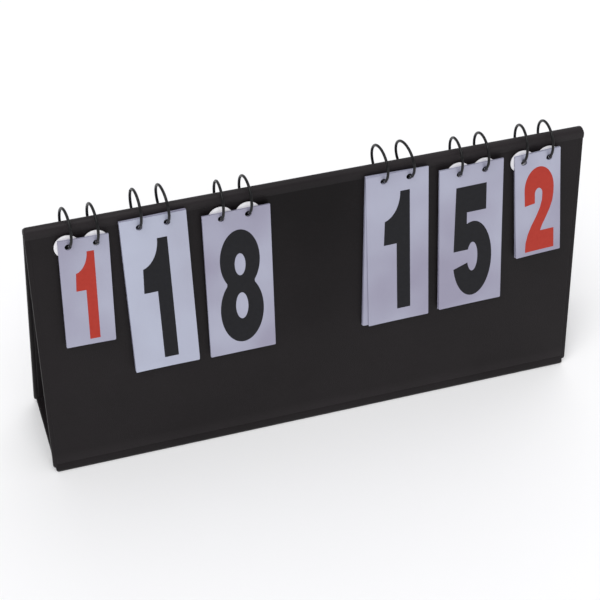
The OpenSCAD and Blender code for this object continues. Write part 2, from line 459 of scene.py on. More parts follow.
class Finishes:
    """Every finish of the object, made once."""

    def __init__(self) -> None:
        """Builds the materials."""
        self.vinyl = VinylFinish().make()
        # The panel finish gets painted shade at the top of its middle and a painted sheen along its foot.
        self.panel = VinylFinish("pebbled_panel_vinyl", painted_middle_shade=0.5, painted_foot_sheen=0.55).make()
        # The spine finish gets painted shade in its middle and a painted highlight over its rounded top fold.
        self.spine = VinylFinish("spine_vinyl_painted_shade_and_highlight", painted_middle_shade=0.4, painted_crown_highlight=0.6).make()
        self.card = CardFinish().make()
        # Painted reflection: a lighter, bluer copy of the card finish, for a front card that catches the
        # light.
        self.painted_reflection_card = CardFinish("white_card_painted_reflection", (0.4, 0.41, 0.52), (0.5, 0.54, 0.67)).make()
        self.black_ink = InkFinish("black_ink", (0.008, 0.008, 0.01), (0.015, 0.015, 0.018)).make()
        self.red_ink = InkFinish("red_ink", (0.4, 0.034, 0.022), (0.47, 0.046, 0.03)).make()
        self.wire = WireFinish().make()
        self.washer = PlasticFinish().make()
        self.rivet = MetalFinish("steel_rivet", (0.2, 0.2, 0.21), (0.34, 0.34, 0.35), 0.8).make()
        self.eyelet = MetalFinish("enamelled_eyelet", (0.012, 0.012, 0.012), (0.03, 0.03, 0.03), 0.2).make()
        self.board = BoardFinish().make()
        self.pile = PileFinish().make()


class Side(Enum):
    """The two faces of the stand, as the sign of Y that they look towards."""

    FRONT = -1
    REAR = 1


class CardKind(Enum):
    """The three sizes of card."""

    GAMES = "games"
    TENS = "tens"
    UNITS = "units"


@dataclass(frozen=True)
class Tent:
    """The leaning faces of the stand, all sizes in millimetres."""

    lean: float = 9.5
    thickness: float = 4.2
    length: float = 308.0
    width: float = 610.0
    top_gap: float = 1.5

    def hinge(self) -> Vector:
        """The middle of the top hinge line, in metres."""
        return Vector(joint("spine_hinge")["pos_m"])

    def face(self, side: Side) -> Matrix:
        """The frame of a panel.

        Args:
            side: Front or rear.

        Returns:
            A matrix from millimetres right, up and out, as seen by a person who looks at that face from
            outside, to metres in the row frame. Its origin is the top hinge line on the inner face.
        """
        slant = math.radians(self.lean)
        sign = side.value
        right = Vector((-sign, 0, 0))
        up = Vector((0, -sign * math.sin(slant), math.cos(slant)))
        out = Vector((0, sign * math.cos(slant), math.sin(slant)))
        turned = Matrix((right, up, out)).transposed().to_4x4()
        return Matrix.Translation(self.hinge()) @ turned @ Matrix.Scale(MM, 4)

    def place(self, side: Side, point: Vector) -> Vector:
        """A row frame point in a panel's own millimetres."""
        return self.face(side).inverted() @ point

    def lap(self, side: Side, path: Sequence[Point]) -> list[Point]:
        """A sheet's course down a panel.

        Args:
            side: Front or rear.
            path: How far each point is down the panel and out of its inner face.

        Returns:
            Each point's Y and Z in the row frame, in millimetres.
        """
        points = [self.face(side) @ Vector((0, -down, out)) / MM for down, out in path]
        return [(point.y, point.z) for point in points]


def joint(name: str) -> dict:
    """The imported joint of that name."""
    return next(one for one in frame["joints"] if one["name"] == name)


def make_piece(
    name: str,
    shape: bmesh.types.BMesh,
    material: bpy.types.Material,
    replaced: Sequence[str] = (),
    sharp: float = 32.0,
) -> bpy.types.Object:
    """Turns a bmesh into a piece of the scene.

    Args:
        name: The piece's name.
        shape: The mesh, already in the row frame. It is freed.
        material: Its finish.
        replaced: The CAD nodes that it stands for.
        sharp: Edges over this angle, in degrees, stay sharp.

    Returns:
        The piece, with its object at the origin.
    """
    for face in shape.faces:
        face.smooth = True
    mesh = bpy.data.meshes.new(name)
    shape.to_mesh(mesh)
    shape.free()
    mesh.set_sharp_from_angle(angle=math.radians(sharp))
    piece = bpy.data.objects.new(name, mesh)
    bpy.context.scene.collection.objects.link(piece)
    mesh.materials.append(material)
    if replaced:
        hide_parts(*replaced)
    log.info("%s: %d faces", name, len(mesh.polygons))
    return piece


def dress_node(name: str, material: bpy.types.Material) -> None:
    """Gives a CAD node that stays its finish.

    Args:
        name: The node's name.
        material: Its finish.
    """
    mesh = frame["nodes"][name].data
    mesh.materials.clear()
    mesh.materials.append(material)


def carve(piece: bpy.types.Object, cutter_shape: bmesh.types.BMesh) -> None:
    """Cuts a shape out of a piece.

    Args:
        piece: The piece, changed in place.
        cutter_shape: The closed shape to take away. It is freed.
    """
    mesh = bpy.data.meshes.new("cutter")
    cutter_shape.to_mesh(mesh)
    cutter_shape.free()
    cutter = bpy.data.objects.new("cutter", mesh)
    bpy.context.scene.collection.objects.link(cutter)
    cut = piece.modifiers.new("holes", "BOOLEAN")
    cut.operation = "DIFFERENCE"
    cut.solver = "EXACT"
    cut.object = cutter
    graph = bpy.context.evaluated_depsgraph_get()
    carved = bpy.data.meshes.new_from_object(piece.evaluated_get(graph))
    piece.modifiers.clear()
    piece.data = carved
    bpy.data.objects.remove(cutter)


def settle(shape: bmesh.types.BMesh, matrix: Matrix) -> None:
    """Applies a placement to a whole bmesh and makes its faces point outwards."""
    bmesh.ops.transform(shape, matrix=matrix, verts=shape.verts)
    bmesh.ops.recalc_face_normals(shape, faces=shape.faces)


def add_shape(whole: bmesh.types.BMesh, shape: bmesh.types.BMesh) -> None:
    """Adds a finished bmesh to another.

    Args:
        whole: The bmesh that gets it.
        shape: The bmesh that is added. It is freed.
    """
    mesh = bpy.data.meshes.new("added")
    shape.to_mesh(mesh)
    shape.free()
    whole.from_mesh(mesh)
    bpy.data.meshes.remove(mesh)


def round_edges(
    shape: bmesh.types.BMesh, edges: Iterable[bmesh.types.BMEdge], radius: float, steps: int
) -> None:
    """Rounds some edges of a bmesh.

    Args:
        shape: The bmesh.
        edges: The edges.
        radius: The radius of the round, in the bmesh's own unit.
        steps: Faces across each edge.
    """
    bmesh.ops.bevel(
        shape, geom=list(edges), offset=radius, segments=steps, profile=0.5, affect="EDGES", material=-1
    )


def add_fold(shape: bmesh.types.BMesh, axis: int, level: float) -> None:
    """Cuts a bmesh across, so that it can bend there.

    Args:
        shape: The bmesh, in millimetres.
        axis: 0 to cut across X, 1 to cut across Y.
        level: Where the cut is on that axis.
    """
    point, normal = Vector(), Vector()
    point[axis], normal[axis] = level, 1
    everything = shape.verts[:] + shape.edges[:] + shape.faces[:]
    bmesh.ops.bisect_plane(shape, geom=everything, plane_co=point, plane_no=normal, dist=0.001)


def move_grown(shape: bmesh.types.BMesh, grown: dict, step: Triple) -> None:
    """Moves what an extrusion has added to a bmesh."""
    moved = [item for item in grown["geom"] if isinstance(item, bmesh.types.BMVert)]
    bmesh.ops.translate(shape, verts=moved, vec=step)


def spin_ring(shape: bmesh.types.BMesh, section: Sequence[Point], matrix: Matrix, steps: int) -> None:
    """Turns a closed section round an axis.

    Args:
        shape: The bmesh that gets the ring.
        section: Radius and height of each corner of the section.
        matrix: Where the axis, which is the section's Z, goes.
        steps: Faces round the ring.
    """
    ring = bmesh.new()
    corners = [ring.verts.new((radius, 0, height)) for radius, height in section]
    edges = [ring.edges.new((corners[i - 1], corners[i])) for i in range(len(corners))]
    bmesh.ops.spin(
        ring, geom=corners + edges, cent=(0, 0, 0), axis=(0, 0, 1), dvec=(0, 0, 0),
        angle=math.tau, steps=steps, use_merge=True, use_normal_flip=False, use_duplicate=False,
    )
    bmesh.ops.transform(ring, matrix=matrix, verts=ring.verts)
    add_shape(shape, ring)


@dataclass
class WeldedPanel:
    """A board in a vinyl skin that is welded round its edge, in millimetres.

    Its rim is what turns by more than the square angle, in radians.
    """

    width: float
    low: float
    high: float
    thickness: float
    low_corner: float = 3.0
    high_corner: float = 4.0
    margin: float = 4.2
    groove: float = 0.45
    groove_depth: float = 0.22
    edge_round: float = 1.3
    square_angle: float = 1.4

    def shape(self) -> bmesh.types.BMesh:
        """Builds the skin in its own right, up and out.

        Returns:
            The bmesh, with its back at out 0.
        """
        shape = bmesh.new()
        centre = Vector((0, (self.low + self.high) / 2, self.thickness / 2))
        size = Matrix.Diagonal((self.width, self.high - self.low, self.thickness, 1))
        bmesh.ops.create_cube(shape, size=1.0, matrix=Matrix.Translation(centre) @ size)
        bmesh.ops.recalc_face_normals(shape, faces=shape.faces)
        for sign in (-1, 1):
            shape.normal_update()
            face = max((f for f in shape.faces if f.normal.z * sign > 0.9), key=lambda f: f.calc_area())
            for step, depth in (
                (self.margin, 0.0),
                (self.groove, -self.groove_depth),
                (self.groove, self.groove_depth),
                (self.groove * 2, 0.0),
            ):
                bmesh.ops.inset_region(shape, faces=[face], thickness=step, depth=depth, use_even_offset=True)
        for level, radius in ((self.low, self.low_corner), (self.high, self.high_corner)):
            corners = [
                edge for edge in shape.edges
                if abs(edge.verts[0].co.z - edge.verts[1].co.z) > self.thickness / 2
                and all(abs(v.co.y - level) < 0.01 for v in edge.verts)
            ]
            round_edges(shape, corners, radius, 6)
        rim = [
            edge for edge in shape.edges
            if len(edge.link_faces) == 2 and edge.calc_face_angle(0) > self.square_angle
            and abs(edge.verts[0].co.z - edge.verts[1].co.z) < 0.01
        ]
        round_edges(shape, rim, self.edge_round, 4)
        return shape


class Figure:
    """The outlines of a printed number, one high, from the top down, with 0 across at its middle."""

    @staticmethod
    def arc(centre: Point, radii: Point, start: float, end: float, step: float) -> list[Point]:
        """Points on part of an ellipse.

        Args:
            centre: Its centre.
            radii: Its two radii.
            start: First angle, in degrees.
            end: Last angle.
            step: Degrees between points.

        Returns:
            The points in order.
        """
        count = max(1, round(abs(end - start) / step))
        angles = [math.radians(start + (end - start) * i / count) for i in range(count + 1)]
        return [(centre[0] + radii[0] * math.cos(a), centre[1] + radii[1] * math.sin(a)) for a in angles]

    @classmethod
    def one(cls) -> list[list[Point]]:
        """The figure one."""
        flag = cls.arc((-0.115, 0.0), (0.14, -0.235), 80, 0, 8)
        return [[(0.095, 0.0), (0.095, -1.0), (-0.005, -1.0), (-0.005, -0.43), (-0.1, -0.43), *flag]]

    @classmethod
    def eight(cls) -> list[list[Point]]:
        """The figure eight: the outline of two tall ellipses and their two counters.

        Returns:
            The rim, then the upper and the lower counter.
        """
        top, top_radii = (0.004, -0.265), (0.15, 0.265)
        low, low_radii = (0.004, -0.705), (0.164, 0.295)

        def outside(point: Point, centre: Point, radii: Point) -> bool:
            """True where a point is not in an ellipse."""
            return sum(((point[i] - centre[i]) / radii[i]) ** 2 for i in (0, 1)) > 1

        rim = [p for p in cls.arc(top, top_radii, -90, 266, 4) if outside(p, low, low_radii)]
        rim += [p for p in cls.arc(low, low_radii, 90, 446, 4) if outside(p, top, top_radii)]
        counters = [cls.arc((0.004, -0.302), (0.041, 0.097), 0, 348, 12)]
        counters.append(cls.arc((0.004, -0.67), (0.047, 0.118), 0, 348, 12))
        return [rim, *counters]

    @classmethod
    def five(cls) -> list[list[Point]]:
        """The figure five.

        Returns:
            Its one outline: the bar, the bowl and back along the counter.
        """
        bar = [(0.003, -0.57), (0.02, 0.0), (0.26, 0.0), (0.26, -0.232), (0.107, -0.232)]
        bowl = cls.arc((0.155, -0.66), (0.155, 0.34), 108, -168, 6)
        counter = cls.arc((0.155, -0.64), (0.042, 0.132), -158, 148, 9)
        return [[(x - 0.155, y) for x, y in bar + bowl + counter]]

    @classmethod
    def two(cls) -> list[list[Point]]:
        """The figure two.

        Returns:
            Its one outline: the crown, down to the foot and back up to the tip.
        """
        crown = cls.arc((0.155, -0.26), (0.155, 0.26), 180, 0, 5)
        down = [(0.308, -0.34), (0.296, -0.43), (0.268, -0.52), (0.225, -0.62)]
        down += [(0.187, -0.7), (0.165, -0.765)]
        foot = [(0.31, -0.765), (0.31, -1.0), (0.0, -1.0)]
        back = [(0.006, -0.89), (0.03, -0.79), (0.07, -0.69), (0.12, -0.59), (0.162, -0.49), (0.185, -0.4)]
        counter = cls.arc((0.15, -0.32), (0.04, 0.07), 0, 180, 12)
        tip = [(0.11, -0.425), (0.002, -0.44)]
        return [[(x - 0.155, y) for x, y in crown + down + foot + back + counter + tip]]

    @classmethod
    def outlines(cls, number: int) -> list[list[Point]]:
        """The outlines of one number, the counters after the rim."""
        return {1: cls.one, 2: cls.two, 5: cls.five, 8: cls.eight}[number]()


@dataclass
class Stand:
    """The two panels, the base, the spine, the hinge web and the closure, in millimetres.

    Each lap is the course of a sheet down a panel: the distance from the top hinge line and the
    distance out of the panel's inner face.
    """

    tent: Tent
    finishes: Finishes
    base_width: float = 604.0
    base_thickness: float = 4.6
    base_corner: float = 3.0
    eyelet_hole: float = 4.0
    eyelet_bore: float = 3.2
    eyelet_barrel: float = 3.9
    eyelet_seat: float = 0.02
    eyelet_rim: Sequence[Point] = (
        (3.2, 0.3), (3.35, 0.52), (3.8, 0.6), (4.7, 0.58), (5.2, 0.4), (5.4, 0.05),
    )
    spine_inner: float = 4.35
    spine_outer: float = 5.1
    spine_steps: int = 22
    spine_lap: Sequence[Point] = ((7.4, 4.22), (6.4, 4.42), (5.2, 4.68), (3.6, 4.92), (1.8, 5.05))
    spine_stretch: float = 3.0
    spine_fade: Point = (2.0, 5.0)
    end_round: float = 4.0
    end_turns: Sequence[float] = (15, 30, 45, 60, 75, 90)
    web_lap: Sequence[Point] = ((303.0, 4.3), (304.5, 4.5), (306.5, 4.7), (307.8, 4.72))
    web_crease: Point = (-0.55, -0.1)
    web_over_base: Sequence[Point] = ((-0.42, 4.3), (-0.48, 3.6), (-0.4, 2.6), (-0.1, 1.9))
    web_width: float = 602.0
    web_thickness: float = 0.35
    web_stretch: float = 0.9
    strip_round: float = 0.25
    closure_width: float = 70.0
    closure_places: Sequence[float] = (-220.0, 0.0, 220.0)
    tab_lap: Sequence[Point] = ((296.0, 4.3), (298.0, 4.75), (301.0, 4.95), (306.5, 5.0), (307.8, 5.0))
    tab_bend: Sequence[Point] = ((0.35, 0.45), (1.1, 0.1), (2.2, 0.0))
    tab_rise: float = 0.8
    tab_thickness: float = 0.7

    def build(self) -> None:
        """Makes every piece of the stand."""
        self.panel(Side.FRONT)
        self.panel(Side.REAR)
        self.base()
        self.spine()
        self.hinge_web()
        self.closure()
        for side, body in ((Side.FRONT, "front_panel"), (Side.REAR, "rear_panel")):
            self.eyelets(side, body)
        for node in ("front_board", "rear_board", "base_board"):
            dress_node(node, self.finishes.board)

    def eyelet_places(self, side: Side) -> list[Vector]:
        """Where the rings pass through a panel.

        Args:
            side: Front or rear.

        Returns:
            Each hole's place in the panel's own millimetres, at mid thickness.
        """
        places = []
        for pack in PACKS:
            centre = self.tent.place(side, pack.ring_centre())
            reach = pack.ring_radius**2 - (self.tent.thickness / 2 - centre.z) ** 2
            for offset in pack.ring_offsets():
                right = centre.x - side.value * offset
                places.append(Vector((right, centre.y - math.sqrt(reach), self.tent.thickness / 2)))
        return places

    def panel(self, side: Side) -> None:
        """Makes one leaning panel with its holes.

        Args:
            side: Front or rear.
        """
        name = side.name.lower()
        skin = WeldedPanel(self.tent.width, -self.tent.length, -self.tent.top_gap, self.tent.thickness)
        shape = skin.shape()
        settle(shape, self.tent.face(side))
        piece = make_piece(f"{name}_panel_skin", shape, self.finishes.panel, [f"{name}_cover"])
        cutter = bmesh.new()
        for place in self.eyelet_places(side):
            bmesh.ops.create_cone(
                cutter, cap_ends=True, segments=28, radius1=self.eyelet_hole, radius2=self.eyelet_hole,
                depth=self.tent.thickness * 3, matrix=Matrix.Translation(place),
            )
        settle(cutter, self.tent.face(side))
        carve(piece, cutter)
        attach(piece, f"{name}_panel")

    def base(self) -> None:
        """Makes the base panel."""
        low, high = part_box("base_cover")
        skin = WeldedPanel(
            self.base_width, low.y / MM, high.y / MM, self.base_thickness,
            low_corner=self.base_corner, high_corner=self.base_corner,
        )
        shape = skin.shape()
        settle(shape, Matrix.Scale(MM, 4))
        piece = make_piece("base_skin", shape, self.finishes.vinyl, ["base_cover"])
        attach(piece, "base")

    def web(
        self, path: Sequence[Point], width: float, thickness: float, centre: float = 0.0
    ) -> bmesh.types.BMesh:
        """A sheet that follows a path across the stand.

        Args:
            path: Y and Z of the outer surface, in millimetres.
            width: Its length along X.
            thickness: Its thickness.
            centre: The X of its middle.

        Returns:
            The bmesh, in metres.
        """
        shape = bmesh.new()
        verts = [shape.verts.new((centre - width / 2, y, z)) for y, z in path]
        edges = [shape.edges.new(pair) for pair in zip(verts, verts[1:])]
        move_grown(shape, bmesh.ops.extrude_edge_only(shape, edges=edges), (width, 0, 0))
        for step in self.end_steps(width):
            for end in (-1, 1):
                add_fold(shape, 0, centre + end * (width / 2 - step))
        bmesh.ops.recalc_face_normals(shape, faces=shape.faces)
        bmesh.ops.solidify(shape, geom=shape.faces[:], thickness=thickness)
        settle(shape, Matrix.Scale(MM, 4))
        return shape

    def end_steps(self, width: float) -> list[float]:
        """Distances from the end of a web at which it gets a fold, so that its corners can be round."""
        radius = min(self.end_round, width / 4)
        return [radius * (1 - math.cos(math.radians(turn))) for turn in self.end_turns]

    def spine(self) -> None:
        """Makes the skin that runs over the top fold, with a tapered lap down each panel."""
        hinge = self.tent.hinge() / MM
        start = 180 - self.tent.lean
        radii = (self.spine_outer, self.spine_outer)
        turn = 180 - 2 * self.tent.lean
        arc = Figure.arc((hinge.y, hinge.z), radii, start, start - turn, turn / self.spine_steps)
        down_front = self.tent.lap(Side.FRONT, self.spine_lap)
        down_rear = [(2 * hinge.y - y, z) for y, z in reversed(down_front)]
        shape = self.web(down_front + arc + down_rear, self.tent.width, self.spine_outer - self.spine_inner)
        self.round_ends(shape, hinge.z - self.spine_fade[0], hinge.z + self.spine_fade[1])
        piece = make_piece("spine_skin", shape, self.finishes.spine, ["spine"])
        line = self.tent.hinge()
        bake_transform(piece)

    def round_ends(self, shape: bmesh.types.BMesh, low: float, high: float) -> None:
        """Rounds the upper corners at both ends of the spine.

        Args:
            shape: The spine, in metres.
            low: The height from which it fades in, in millimetres.
            high: The height from which it is full.
        """
        radius = self.end_round * MM
        for vert in shape.verts:
            inward = abs(vert.co.x) - (self.tent.width / 2 * MM - radius)
            if inward > 0:
                drop = radius - math.sqrt(max(radius**2 - inward**2, 0))
                share = (vert.co.z - low * MM) / ((high - low) * MM)
                vert.co.z -= drop * max(0.0, min(1.0, share))

    def hinge_web(self) -> None:
        """Makes the strip that joins the front panel's bottom edge to the base."""
        turn = Vector(joint("base_hinge")["pos_m"])
        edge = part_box("base_cover")[0].y / MM
        crease = (turn.y / MM + self.web_crease[0], turn.z / MM + self.web_crease[1])
        over_base = [(edge + y, z) for y, z in self.web_over_base]
        path = [*self.tent.lap(Side.FRONT, self.web_lap), crease, *over_base]
        shape = self.web(path, self.web_width, self.web_thickness)
        piece = make_piece("hinge_web", shape, self.finishes.vinyl, ["front_hinge", "hinge_channel"])
        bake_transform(piece)

    def closure(self) -> None:
        """Makes the tabs of the back panel and the strips on the base that they close on."""
        low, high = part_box("closure_strips")
        strips = bmesh.new()
        for x in self.closure_places:
            size = Vector((self.closure_width, (high.y - low.y) / MM, (high.z - low.z) / MM))
            centre = Vector((x, (high.y + low.y) / 2 / MM, (high.z + low.z) / 2 / MM))
            made = bmesh.ops.create_cube(
                strips, size=1.0, matrix=Matrix.Translation(centre) @ Matrix.Diagonal((*size, 1))
            )
            edges = {edge for vert in made["verts"] for edge in vert.link_edges}
            round_edges(strips, edges, self.strip_round, 2)
        settle(strips, Matrix.Scale(MM, 4))
        piece = make_piece("closure_pile_strips", strips, self.finishes.pile, ["closure_strips"])
        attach(piece, "base")

        down = self.tent.lap(Side.REAR, self.tab_lap)
        tab_low, tab_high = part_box("closure_tabs")
        start, end, top = down[-1][0], tab_high.y / MM, tab_low.z / MM + self.tab_rise
        along = [(start + y, top + z) for y, z in self.tab_bend] + [(end - 1, top), (end, top)]
        tabs = bmesh.new()
        for x in self.closure_places:
            add_shape(tabs, self.web(down + along, self.closure_width, self.tab_thickness, x))
        piece = make_piece("closure_tab_webs", tabs, self.finishes.vinyl, ["closure_tabs"])
        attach(piece, "rear_panel")

    def eyelets(self, side: Side, body: str) -> None:
        """Makes one panel's eyelets, with a rolled rim outside.

        Args:
            side: Front or rear.
            body: The body that they ride on.
        """
        shape = bmesh.new()
        thick = self.tent.thickness
        section = [(self.eyelet_bore, self.eyelet_seat)]
        section += [(radius, thick + out) for radius, out in self.eyelet_rim]
        section += [(self.eyelet_barrel, out + self.eyelet_seat) for out in (thick, 0)]
        for place in self.eyelet_places(side):
            spin_ring(shape, section, Matrix.Translation((place.x, place.y, 0)), 30)
        settle(shape, self.tent.face(side))
        name = side.name.lower()
        finish = self.finishes.eyelet
        piece = make_piece(f"{name}_rolled_eyelets", shape, finish, [f"{name}_eyelets"])
        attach(piece, body)


@dataclass(frozen=True)
class CardSize:
    """A size of card and of the number on it, in millimetres."""

    width: float
    height: float
    number_drop: float
    number_height: float
    corner: float = 1.2
    hole_drop: float = 9.5
    hole_radius: float = 3.5


SIZES = {
    CardKind.GAMES: CardSize(52.5, 133.0, 8.5, 109.5),
    CardKind.TENS: CardSize(70.0, 192.5, 16.0, 153.0),
    CardKind.UNITS: CardSize(73.0, 182.0, 16.5, 145.0),
}


@dataclass(frozen=True)
class RingHang:
    """How one ring hangs in its holes, in degrees and millimetres."""

    yaw: float
    lean: float
    across: float
    rise: float
    snapped: bool = True


@dataclass(frozen=True)
class Pack:
    """One pack of cards: its size, the number it shows and how it hangs, in degrees and millimetres.

    The card and its number are shifted right and up, and the washers on the left and the right ring to
    the right. The swing is how many degrees the card's right side stands off the panel.
    """

    name: str
    kind: CardKind
    number: int
    turn: float
    curl: float
    card_shift: Point
    number_shift: Point
    rings: tuple[RingHang, RingHang]
    washer_shifts: Point | None = None
    swing: float = 0.0
    # True where the front card gets the lighter, bluer card finish, a painted reflection.
    bright: bool = False
    ring_radius: float = 19.6
    ring_pitch: float = 29.0
    wire_radius: float = 1.5

    def ring_centre(self) -> Vector:
        """The middle of the pack's rings, in metres."""
        return Vector(joint(f"flip_{self.name}")["pos_m"])

    def ring_offsets(self) -> tuple[float, float]:
        """How far the two rings stand to each side of the pack's middle, in millimetres."""
        return -self.ring_pitch / 2, self.ring_pitch / 2


PACKS = (
    Pack(
        "games_left", CardKind.GAMES, 1, -1.2, 0.5, (1.4, -1.2), (1.1, 0.0),
        (RingHang(5.6, 3.6, 0.0, 0.5), RingHang(4.4, 2.0, -0.5, 0.4)), (-0.5, 0.1),
    ),
    Pack(
        "tens_left", CardKind.TENS, 1, 1.3, 0.8, (0.3, 0.5), (-1.4, -1.0),
        (RingHang(3.4, 1.5, -0.6, -0.5, snapped=False), RingHang(5.8, -1.1, -0.6, -0.5)),
        swing=0.8, bright=True,
    ),
    Pack(
        "units_left", CardKind.UNITS, 8, 0.4, 0.12, (1.8, -2.6), (2.4, -0.5),
        (RingHang(-1.1, 1.0, 0.6, -0.4, snapped=False), RingHang(3.2, 1.6, 0.1, 0.4)), (0.1, 0.4),
    ),
    Pack(
        "tens_right", CardKind.TENS, 1, 1.2, 0.9, (1.0, -1.5), (0.3, 0.3),
        (RingHang(6.4, -1.1, -0.4, -0.6), RingHang(10.0, -3.0, -0.6, -0.4)),
    ),
    Pack(
        "units_right", CardKind.UNITS, 5, 1.4, 0.7, (-0.9, -0.5), (1.4, -0.2),
        (RingHang(-0.9, -1.6, -0.1, -0.4), RingHang(1.5, -0.1, -0.6, 0.1)), (-0.3, 0.1), swing=0.3,
    ),
    Pack(
        "games_right", CardKind.GAMES, 2, 3.6, 0.8, (1.2, 0.0), (2.8, -0.5),
        (RingHang(-3.4, 0.3, -0.4, 0.6), RingHang(0.5, -0.7, -0.6, 0.6)), (-0.5, 0.2), swing=1.0,
    ),
)


@dataclass
class CardPack:
    """The front card of a pack, its number, and the pack's two rings, in millimetres.

    The turns, ends, room and laps of a ring are degrees about its middle, from straight back towards
    the top.
    """

    pack: Pack
    tent: Tent
    finishes: Finishes
    card_thickness: float = 0.45
    print_thickness: float = 0.08
    fold_pitch: float = 9.0
    hang: float = 0.5
    ring_pivot: float = -3.0
    pin_turn: float = 220.0
    snap_turn: float = 78.0
    snap_gap: float = 0.4
    open_gate_end: float = 45.0
    open_half_end: float = 29.0
    lug_room: float = 6.2
    lug_gap: float = 0.06
    lug_radius: float = 1.8
    lug_thickness: float = 1.45
    lug_round: float = 0.22
    tongue_lap: float = 1.5
    tongue_shift: float = 0.66
    tongue_radii: Point = (0.58, 1.25)
    rivet_radius: float = 0.6
    rivet_head: float = 1.0
    rivet_head_height: float = 0.35

    def build(self) -> None:
        """Makes the pack's pieces."""
        self.card()
        self.number()
        for side, offset in enumerate(self.pack.ring_offsets()):
            self.gate(side, offset)
        self.fixed_halves()
        self.rivets()

    def card_frame(self) -> Matrix:
        """The frame of the front card.

        Returns:
            A matrix from millimetres right, up and out of the card's back face, from midway between its
            holes, to metres in the row frame.
        """
        wire = self.tent.place(Side.FRONT, Vector(joint(f"swivel_{self.pack.name}")["pos_m"]))
        origin = Vector((wire.x, wire.y - self.hang, wire.z - self.card_thickness / 2))
        turn = Matrix.Rotation(math.radians(self.pack.turn), 4, "Z")
        return self.tent.face(Side.FRONT) @ Matrix.Translation(origin) @ turn

    def lift(self, right: float, up: float) -> float:
        """How far the card bows out at a point.

        Args:
            right: Millimetres right of the card's middle.
            up: Millimetres over its holes.

        Returns:
            The lift off its flat plane.
        """
        size = SIZES[self.pack.kind]
        along = max(0.0, -up) / (size.height - size.hole_drop)
        across = (right - self.pack.card_shift[0]) / (size.width / 2)
        foot = 0.55 * along**2
        corners = 0.45 * across**2 * along
        wave = 0.25 * math.sin(along * 7.0 + self.pack.turn) * across * along
        swung = math.sin(math.radians(self.pack.swing)) * (1 + across) * size.width / 2
        return self.pack.curl * (foot + corners + wave) + swung

    def sheet(self, loops: Sequence[Sequence[Point]], base: float, thickness: float) -> bmesh.types.BMesh:
        """A thin sheet that lies on the bowed card.

        Args:
            loops: Its outline and its holes, in millimetres right and up.
            base: Height of its back face over the card's back face.
            thickness: Its thickness.

        Returns:
            The bmesh, in metres in the row frame.
        """
        shape = bmesh.new()
        for loop in loops:
            verts = [shape.verts.new((x, y, base)) for x, y in loop]
            for i, vert in enumerate(verts):
                shape.edges.new((verts[i - 1], vert))
        bmesh.ops.triangle_fill(
            shape, use_beauty=True, use_dissolve=False, edges=shape.edges[:], normal=(0, 0, 1)
        )
        for axis in (0, 1):
            low = min(v.co[axis] for v in shape.verts)
            high = max(v.co[axis] for v in shape.verts)
            count = int((high - low) / self.fold_pitch)
            for i in range(1, count):
                add_fold(shape, axis, low + (high - low) * i / count)
        for vert in shape.verts:
            vert.co.z += self.lift(vert.co.x, vert.co.y)
        move_grown(shape, bmesh.ops.extrude_face_region(shape, geom=shape.faces[:]), (0, 0, thickness))
        settle(shape, self.card_frame())
        return shape

    def card(self) -> None:
        """Makes the card, with round lower corners and two punched holes."""
        size = SIZES[self.pack.kind]
        middle, rise = self.pack.card_shift
        left, right = middle - size.width / 2, middle + size.width / 2
        top = rise + size.hole_drop
        low, corner = top - size.height, size.corner
        rim = [(left, top), (right, top)]
        for x, start in ((right - corner, 0), (left + corner, -90)):
            rim += Figure.arc((x, low + corner), (corner, corner), start, start - 90, 15)
        holes = [
            Figure.arc((x, 0.0), (size.hole_radius, size.hole_radius), 0, 345, 15)
            for x in self.pack.ring_offsets()
        ]
        shape = self.sheet([rim, *holes], 0.0, self.card_thickness)
        name = self.pack.name
        # Some front cards get the lighter, bluer card finish, a painted reflection.
        finish = self.finishes.painted_reflection_card if self.pack.bright else self.finishes.card
        piece = make_piece(f"number_card_{name}", shape, finish, [f"card_{name}"])
        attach(piece, f"front_card_{name}")

    def number(self) -> None:
        """Makes the printed number."""
        size = SIZES[self.pack.kind]
        across, rise = self.pack.number_shift
        high, top = size.number_height, rise - size.number_drop
        loops = [
            [(x * high + across, y * high + top) for x, y in loop]
            for loop in Figure.outlines(self.pack.number)
        ]
        shape = self.sheet(loops, self.card_thickness, self.print_thickness)
        red = self.pack.kind is CardKind.GAMES
        name = self.pack.name
        piece = make_piece(
            f"printed_number_{name}", shape, self.finishes.red_ink if red else self.finishes.black_ink,
            [f"numeral_{name}"],
        )
        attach(piece, f"front_card_{name}")

    def ring_frame(self, side: int, offset: float) -> Matrix:
        """The frame of one ring as it hangs, a little turned and leaning in its holes.

        Args:
            side: 0 for the left ring, 1 for the right.
            offset: Its distance from the pack's middle, in millimetres.

        Returns:
            A matrix from millimetres about the ring's centre to metres in the row frame.
        """
        hang = self.pack.rings[side]
        pivot = Matrix.Translation((0, self.ring_pivot, -self.pack.ring_radius))
        yaw = Matrix.Rotation(math.radians(hang.yaw), 4, "Z")
        turn = yaw @ Matrix.Rotation(math.radians(hang.lean), 4, "Y")
        shift = Matrix.Translation((hang.across, 0, hang.rise))
        centre = self.pack.ring_centre() + Vector((offset * MM, 0, 0))
        return Matrix.Translation(centre) @ Matrix.Scale(MM, 4) @ shift @ pivot @ turn @ pivot.inverted()

    @staticmethod
    def spoke(turn: float) -> Vector:
        """The direction of an angle from a ring's middle, in degrees from straight back towards the top."""
        return Vector((0, math.cos(math.radians(turn)), math.sin(math.radians(turn))))

